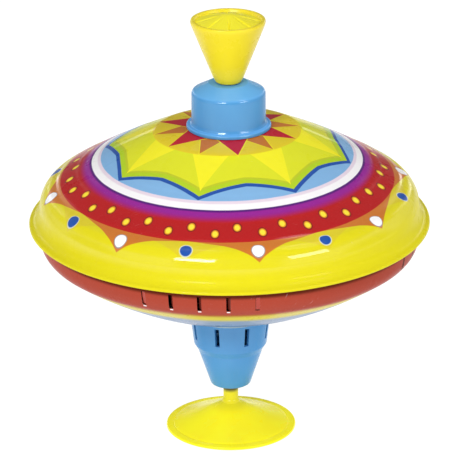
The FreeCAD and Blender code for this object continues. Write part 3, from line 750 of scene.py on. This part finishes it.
def build_lower_shell():
    knee, corner, wall, neck = (40, 67.5), (86, 92.3), (89.9, 98.6), (90.8, 104.2)
    hole, flange = (19.8, 60.5), (92.8, 106.05)
    skin = [hole] + line(hole, knee, 6) + arc(knee, corner, BELLY_RADIUS, -1, 20)
    skin += arc(corner, wall, CORNER_RADIUS, -1, 12) + line(wall, neck, 6) + arc(neck, flange, NECK_RADIUS, 1, 5)
    skin += line(flange, (94.3, 106.05), 2)
    skin = with_heights(skin, [VENT_LOW, VENT_HIGH])
    section = sheet_section(skin, TIN_THICK)
    low, high = at_height(skin, VENT_LOW)[0], at_height(skin, VENT_HIGH)[0]
    rows = (low, high, len(section) - 1 - high, len(section) - 1 - low)
    edges = [turn + way * VENT_HALF for turn in VENT_TURNS for way in (-1, 1)]
    windows = [(turn - VENT_HALF, turn + VENT_HALF) for turn in VENT_TURNS]
    piece = turned("lower_shell_skin", section, even_angles(360, edges, 0.45), windows, rows)
    runs = run_lengths(skin)
    bend = next(k for k, point in enumerate(skin) if point[0] >= 85.9)

    def rho(r, z):
        """The plan radius inside the corner, then the run along the skin added to it."""
        if r < skin[bend][0]:
            return r
        nearest = min(range(bend, len(skin)), key=lambda k: math.dist((r, z), skin[k]))
        return skin[bend][0] + runs[nearest] - runs[bend]

    add_print_map(piece, rho)
    dress(
        piece, [lower_litho, bare_tin, cut_tin],
        lambda row: 2 if row == CUT_ROW else (0 if row < len(skin) else 1))
    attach(piece, "casing")
    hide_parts("lower_shell")


LIP_BENDS = [18, 50, 47, 44, 8] + [46] * 15  # degrees that each tongue is bent in
LIP_RUNS = (0.0, 0.5, 1.0, 1.5, 1.9)  # millimetres from the hinge to the free edge
LIP_HINGE, LIP_ROOT = (0.05, 1.04), (0.45, 1.4)  # (depth, sideways) of its two ends
LIP_THICK = 0.36
LIP_RADII = ((89.0, 96.2), (89.75, 98.4), (90.1, 99.6), (90.55, 102.6))
SHADED_FROM = 20  # a tongue bent in by more gets a darker red, painted shade inside the vent


def lip_outline(bend):
    """(depth, sideways) points round a tongue that is hinged at its vent's right edge."""
    inward, across = math.sin(math.radians(bend)), math.cos(math.radians(bend))
    face = [(LIP_HINGE[0] + run * inward, LIP_HINGE[1] - run * across) for run in LIP_RUNS]
    back = [(deep + LIP_THICK * across, side + LIP_THICK * inward) for deep, side in face[::-1]]
    return face + back[:-1] + [LIP_ROOT]


def build_vent_lips():
    """The tongues that the vents were cut from, bent in from each vent's right edge."""
    mesh = bmesh.new()
    for turn, bend in zip(VENT_TURNS, LIP_BENDS):
        outward, sideways = spoke(turn)
        rings = []
        for r, z in LIP_RADII:
            rings.append([
                mesh.verts.new((outward * (r - deep) + sideways * side + Vector((0, 0, z))) * MM)
                for deep, side in lip_outline(bend)
            ])
        made = [mesh.faces.new(rings[0][::-1]), mesh.faces.new(rings[-1])]
        for lower, upper in zip(rings, rings[1:]):
            for k in range(len(lower)):
                n = (k + 1) % len(lower)
                made.append(mesh.faces.new((lower[k], lower[n], upper[n], upper[k])))
        for face in made:
            face.material_index = 1 if bend > SHADED_FROM else 0
    bmesh.ops.recalc_face_normals(mesh, faces=mesh.faces)
    piece = finish_mesh("vent_lips", mesh, 50)
    piece.data.materials.append(lip_material("lip_red", paint(176, 58, 42)))
    # Deeper tongues get a darker red: painted shade.
    piece.data.materials.append(lip_material("lip_shaded", paint(112, 40, 30)))
    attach(piece, "casing")


def lip_material(name, ink):
    """Ink on the bent tongues, crazed through to bare tin in places."""
    kit = Kit(name)
    crazed = kit.step(kit.noise(1400, 4.0, 0.7), 0.66, 0.74)
    base = kit.mix(crazed, ink, TIN)
    normal = kit.bump(kit.noise(700, 3.0, 0.6), 0.00004, 0.5)
    return kit.set(Base_Color=base, Metallic=crazed * 0.9, Roughness=kit.noise(300) * 0.2 + 0.2, Normal=normal)


# ---------------------------------------------------------------- the moulded pieces


def plastic_piece(piece, material, body, slot, *nodes):
    """Material, body and CAD nodes of a moulded piece; no material if it is already dressed; slot is not used.
    """
    if "row" in piece.data.attributes:
        piece.data.attributes.remove(piece.data.attributes["row"])
    if material:
        piece.data.materials.append(material)
    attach(piece, body)
    if nodes:
        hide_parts(*nodes)


DISH_RADIUS = 100  # of the foot's dished disc, above and below


def build_foot():
    rim, neck = (27.5, 1.86), (4.3, 12.4)
    top = arc(rim, neck, DISH_RADIUS, 1, 16)
    under = arc((4.3, 9.4), (26.4, 0.6), DISH_RADIUS, -1, 12)
    section = [(0, 3.4), (4.0, 3.4), (4.3, 3.7), (4.3, 9.4)] + under + [(27.4, 0.0), (30.9, 0.0), (31.2, 0.25)]
    section += [(31.2, 0.7)] + arc((31.2, 0.7), (30.6, 1.36), 0.62, -1, 5) + line((30.6, 1.36), (28.1, 1.8), 3)
    section += [(27.9, 1.72), (27.75, 1.66), rim]
    section += top + arc(neck, (3.6, 14.2), 3.2, -1, 5) + line((3.6, 14.2), (3.6, 21.2), 4)
    section += [(3.5, 21.5), (3.3, 21.6), (1.5, 21.6), (1.5, 7.5), (0, 7.5)]
    piece = turned("foot_disc_skin", section, even_angles(256))
    plastic_piece(piece, foot_plastic, "foot", "foot_plastic", "foot_disc")
    rib = [(3.8, 3.6), (6.1, 3.4), (24.3, 1.0), (24.5, 1.5), (14.0, 5.2), (3.8, 9.7)]
    ribs = plates("foot_ribs", rib, 1.3, [90 + 60 * k for k in range(6)])
    plastic_piece(ribs, foot_plastic, "foot", "foot_plastic")


SLOT_TURNS = [-20 + 45 * k for k in range(8)]
SLOT_LOW, SLOT_HIGH = 47.5, 57.0
SLOT_HALF = 3.5  # half a slot's width, in degrees


def build_cone():
    outer = rounded([
        (8.2, 22.4), (9.5, 22.4, 1.2), (15.6, 40.8, 0.8), (17.5, 43.9, 0.5), (19.4, 59.1, 0.2),
        (21.4, 59.1, 0.3), (21.4, 60.1, 0.3), (19.5, 60.1, 0.2), (19.5, 63.8, 0.3), (17.9, 63.8)])
    inner = [(17.9, 58.6), (17.1, 58.6), (15.7, 43.9), (13.8, 40.8), (8.2, 24.6)]
    hub = [
        (6.4, 24.6), (6.4, 47.0), (5.0, 47.0), (5.0, 40.4), (3.9, 40.4), (3.9, 33.5), (3.4, 33.5), (3.4, 22.2),
        (3.6, 22.0)]
    section = with_heights(outer + inner, [SLOT_LOW, (SLOT_LOW + SLOT_HIGH) / 2, SLOT_HIGH]) + hub
    low, high = at_height(section, SLOT_LOW), at_height(section, SLOT_HIGH)
    rows = (low[0], high[0], high[1], low[1])
    edges = [turn + way * SLOT_HALF for turn in SLOT_TURNS for way in (-1, 1)]
    windows = [(turn - SLOT_HALF, turn + SLOT_HALF) for turn in SLOT_TURNS]
    piece = turned("lower_cone_skin", section, even_angles(240, edges, 0.6), windows, rows)
    # The flange's rows take the pale blue: a painted highlight.
    rim = [k for k, (r, z) in enumerate(section) if r > 20.5]
    dress(piece, [blue_plastic, flange_highlight_plastic], lambda row: 1 if row in rim else 0)
    plastic_piece(piece, None, "casing", "blue_plastic", "lower_cone")
    web = [(6.0, 24.3), (8.6, 24.3), (14.0, 40.0), (6.0, 40.0)]
    webs = plates("cone_webs", web, 1.4, [90 * k for k in range(4)])
    plastic_piece(webs, blue_plastic, "casing", "blue_plastic")


def build_collar():
    section = rounded([
        (13.45, 154.05), (20.0, 153.3, 0.25), (20.0, 154.9, 0.85), (18.1, 155.25, 0.5), (17.55, 156.6, 0.8),
        (17.45, 171.0, 2.3), (9.3, 175.15, 0.8), (4.6, 175.15, 0.2), (4.6, 173.7), (7.0, 173.7), (15.8, 169.4),
        (15.8, 156.6), (13.45, 156.6)])
    piece = turned("collar_skin", section, even_angles(240))
    plastic_piece(piece, blue_plastic, "casing", "blue_plastic", "collar")


FLUTES = 8
FLUTE_TURN = 3.0
FLUTES_OUT, FLUTES_IN = (15.2, 204.8), (1.6, 208.6)  # the crown's slope, before it is cut
KNOB_TIP = 208.55


def crown_height(r, angle):
    """The knob's crown: a low cone cut by straight grooves, with fine pleats between them."""
    (low_r, low_z), (high_r, high_z) = FLUTES_OUT, FLUTES_IN
    top = high_z - (r - high_r) * (high_z - low_z) / (low_r - high_r)
    pitch = 360 / FLUTES
    off = abs((angle - FLUTE_TURN + pitch / 2) % pitch - pitch / 2)
    across = r * math.sin(math.radians(off))
    share = max(0.0, 1 - across / 0.75)
    fade = min(1.0, max(0.0, (r - 3.0) / 5.0))
    groove = (share * share * (3 - 2 * share)) * (0.3 + 0.6 * fade) * fade
    pleat = 0.06 * fade * (math.cos(math.radians((angle - FLUTE_TURN) * FLUTES * 4)) - 1) / 2
    return min(KNOB_TIP, top) - groove + pleat


def build_knob():
    angles = even_angles(360)
    body = rounded([
        (3.15, 175.7), (6.0, 175.7, 0.5), (7.4, 178.4, 2.5), (17.2, 203.3, 1.5), (17.6, 204.6, 0.6),
        (17.6, 206.0, 0.75), (15.8, 206.0, 0.5), (15.25, 204.9, 0.3)])
    crown = [FLUTES_OUT[0] - 0.55 * k for k in range(25)] + [FLUTES_IN[0], 1.0, 0.5]
    section = body + [(r, 204.6) for r in crown] + [(0, KNOB_TIP), (0, 192.2), (3.15, 192.2)]
    piece = turned("knob_skin", section, angles)
    first = len(body)  # the crown's outermost row, whose heights are set below
    vertices = piece.data.vertices
    for ring, r in enumerate(crown):
        for column, angle in enumerate(angles):
            vertices[(first + ring) * len(angles) + column].co.z = crown_height(r, angle) * MM
    piece.data.set_sharp_from_angle(angle=math.radians(40))
    # The crown's rows take the lighter copy: painted light from above.
    dress(piece, [knob_plastic, crown_top_lit_plastic], lambda row: 1 if first <= row < first + len(crown) else 0)
    plastic_piece(piece, None, "plunger", "knob_plastic", "knob")


build_upper_shell()
build_lower_shell()
build_vent_lips()
build_foot()
build_cone()
build_collar()
build_knob()

# ---------------------------------------------------------------- pieces kept from the CAD

KEPT = {
    steel: ["foot_pin", "pin_clip", "thrust_disc", "cone_lock_ring", "guide_tube", "clutch_housing",
            "dome_lock_ring", "clutch_cover", "guide_bush", "rod_stop"],
    rod_steel: ["spiral_rod"],
    brass: ["pivot_bush", "reeds", "reed_rivets"],
    nylon: ["reed_plate", "ratchet_ring", "drive_nut"],
}
for material, nodes in KEPT.items():
    for node in nodes:
        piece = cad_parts[node]
        piece.data.materials.clear()
        piece.data.materials.append(material)

# ---------------------------------------------------------------- studio


def lit_paper():
    """White paper lit from below round the middle, so that hardly any shadow falls on it."""
    kit = Kit("lit_paper")
    grain = kit.noise(400, 3.0) * 0.05
    reach = kit.tree.nodes.new("ShaderNodeVectorMath")
    reach.operation = "LENGTH"
    kit.tree.links.new(kit.place(), reach.inputs[0])
    lit = kit.step(Num(kit, reach.outputs["Value"]), 0.72, 2.4, 0.93, 0.35)
    return kit.set(
        Base_Color=(0.2, 0.2, 0.2, 1), Roughness=grain + 0.75, Specular_IOR_Level=0.1,
        Emission_Color=(1, 1, 1, 1), Emission_Strength=lit)


def build_floor():
    """A wide pale floor whose top lies just under the foot."""
    bpy.ops.mesh.primitive_plane_add(size=14, location=(0, 0, -0.0001))
    floor = bpy.context.object
    floor.name = "floor"
    floor.data.materials.append(lit_paper())


def softbox(name, place, aim, width, height, power):
    light = bpy.data.lights.new(name, "AREA")
    light.shape = "RECTANGLE"
    light.size = width
    light.size_y = height
    light.energy = power
    lamp = bpy.data.objects.new(name, light)
    lamp.location = place
    lamp.rotation_euler = (Vector(aim) - Vector(place)).to_track_quat("-Z", "Y").to_euler()
    bpy.context.scene.collection.objects.link(lamp)


def build_lights():
    aim = (0, 0, 0.12)
    softbox("key", (-0.62, -1.55, 1.2), aim, 0.75, 0.42, 20.0)
    softbox("fill", (1.30, -1.10, 1.05), aim, 0.8, 0.4, 7.0)
    bpy.context.scene.world = build_world()


# Bright patches of the studio: direction, brightness, and the cosines of their outer and inner reach.
PATCHES = (
    ((-0.21, -0.26, 0.94), 1.2, 0.975, 0.995),
    ((0.45, -0.12, 0.88), 3.6, 0.975, 0.995),
    ((-0.013, 0.81, 0.586), 3.0, 0.996, 0.9995),
    ((-0.225, 0.963, 0.15), 2.0, 0.9985, 0.9997),
    ((0.225, 0.963, 0.15), 2.0, 0.9985, 0.9997),
)


STRIP_POWER = 5.0


def build_world():
    """A dim studio with a pale card and a curved strip light at each side and a few soft lamps."""
    world = bpy.data.worlds.new("studio")
    world.use_nodes = True
    tree = world.node_tree
    kit = Kit.on_tree(tree)
    direction = tree.nodes.new("ShaderNodeTexCoord").outputs["Generated"]
    split = tree.nodes.new("ShaderNodeSeparateXYZ")
    tree.links.new(direction, split.inputs["Vector"])
    depth, height = Num(kit, split.outputs["Y"]), Num(kit, split.outputs["Z"])
    aside = kit.math("ABSOLUTE", Num(kit, split.outputs["X"]))
    cards = kit.step(aside, 0.42, 0.6) * kit.step(aside, 0.98, 0.9) * kit.step(height, 0.55, 0.4)
    light = kit.step(height, -0.2, 0.9, 0.16, 0.26) + cards * 0.7
    for place, power, outer, inner in PATCHES:
        near = tree.nodes.new("ShaderNodeVectorMath")
        near.operation = "DOT_PRODUCT"
        tree.links.new(direction, near.inputs[0])
        near.inputs[1].default_value = Vector(place).normalized()
        light = light + kit.step(Num(kit, near.outputs["Value"]), outer, inner) * power
    strip = aside * 0.609 - depth * 0.333 - height * 0.72
    behind = aside * 0.52 + depth * 0.82 + height * 0.2
    band = kit.step(strip, -0.16, -0.12) * kit.step(strip, -0.06, -0.1)
    light = light + band * kit.step(behind, 0.9, 0.96) * STRIP_POWER
    background = tree.nodes["Background"]
    background.inputs["Color"].default_value = (1, 1, 1, 1)
    tree.links.new(light.socket, background.inputs["Strength"])
    return world


def build_camera():
    """A long lens looking down a little at the front, rolled a touch."""
    elevation, roll = math.radians(21.18), math.radians(-0.45)
    distance, side, target = 1.753, -0.0005, 0.1016
    camera = bpy.data.cameras.new("camera")
    camera.sensor_width = 36
    camera.lens = 290.5
    holder = bpy.data.objects.new("camera", camera)
    holder.location = (side, -distance * math.cos(elevation), target + distance * math.sin(elevation))
    holder.rotation_euler = (Vector((side, 0, target)) - holder.location).to_track_quat("-Z", "Y").to_euler()
    holder.rotation_euler.rotate_axis("Z", roll)
    bpy.context.scene.collection.objects.link(holder)
    bpy.context.scene.camera = holder


build_floor()
build_lights()
build_camera()
bpy.context.scene.view_settings.view_transform = "Standard"
bpy.context.scene.view_settings.look = "None"
